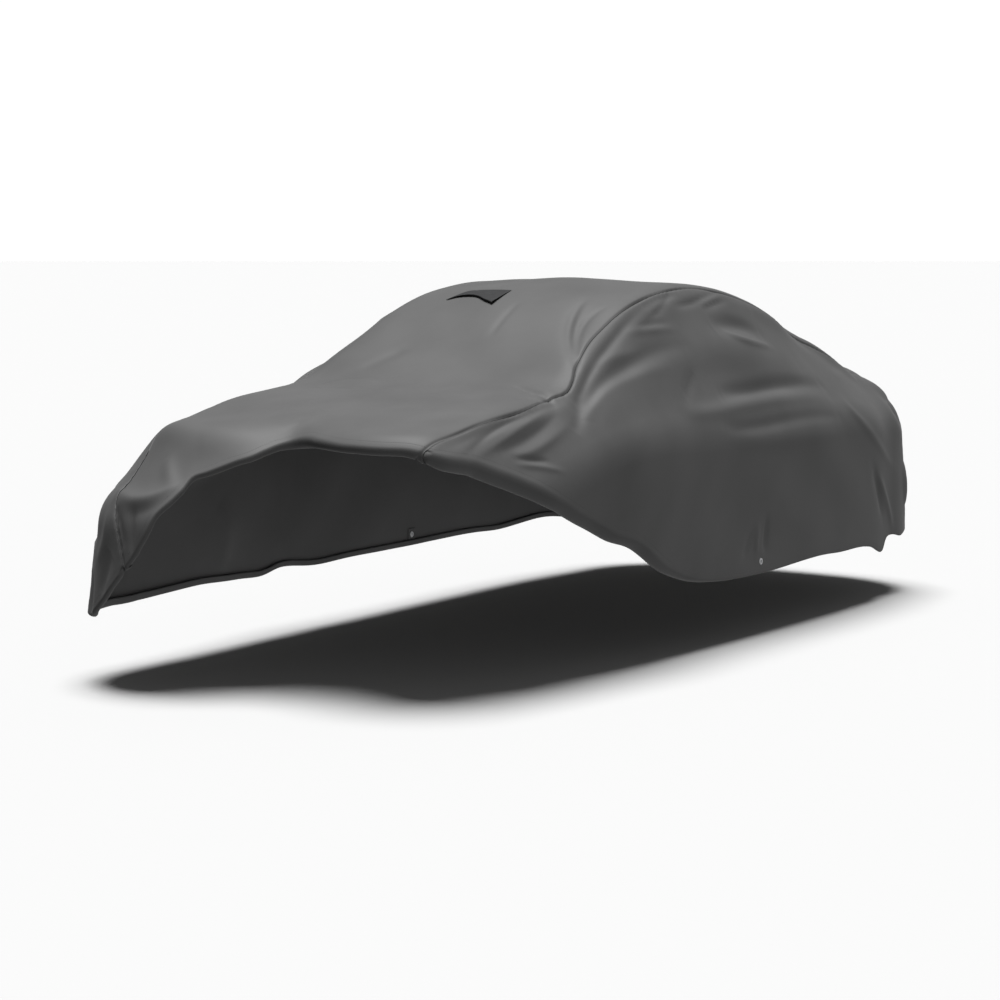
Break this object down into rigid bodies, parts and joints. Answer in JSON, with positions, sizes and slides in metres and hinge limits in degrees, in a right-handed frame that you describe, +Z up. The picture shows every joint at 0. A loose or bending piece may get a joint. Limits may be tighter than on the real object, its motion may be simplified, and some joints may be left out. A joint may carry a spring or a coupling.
{
  "type": "fitted car cover",
  "caption": "Fitted cloth cover as draped over a saloon car, hollow underneath, with a turned-under hem, a hooded air vent on the roof and a tie-down eyelet low on each side.",
  "frame": {"origin": "under the crown of the roof, where the covered body carries the cloth, just below the cloth's inner face", "axes": "+Z up, -Y towards the front of the cover, +X towards its left side"},
  "size_m": [1.8585, 4.5186, 1.2829],
  "materials": {
    "cover_cloth": "smooth grey coated cloth, satin matte",
    "vent_cloth": "dark grey cloth, matte",
    "vent_net": "black knitted mesh, matte",
    "eyelet_plastic": "pale grey moulded, satin"
  },
  "bodies": {
    "root": {"top_panel": "cover_cloth", "side_panel_left": "cover_cloth", "side_panel_right": "cover_cloth", "vent_hood": "vent_cloth", "vent_mesh": "vent_net", "eyelet_patch_left": "cover_cloth", "eyelet_patch_right": "cover_cloth", "eyelet_left": "eyelet_plastic", "eyelet_right": "eyelet_plastic"}
  },
  "joints": []
}
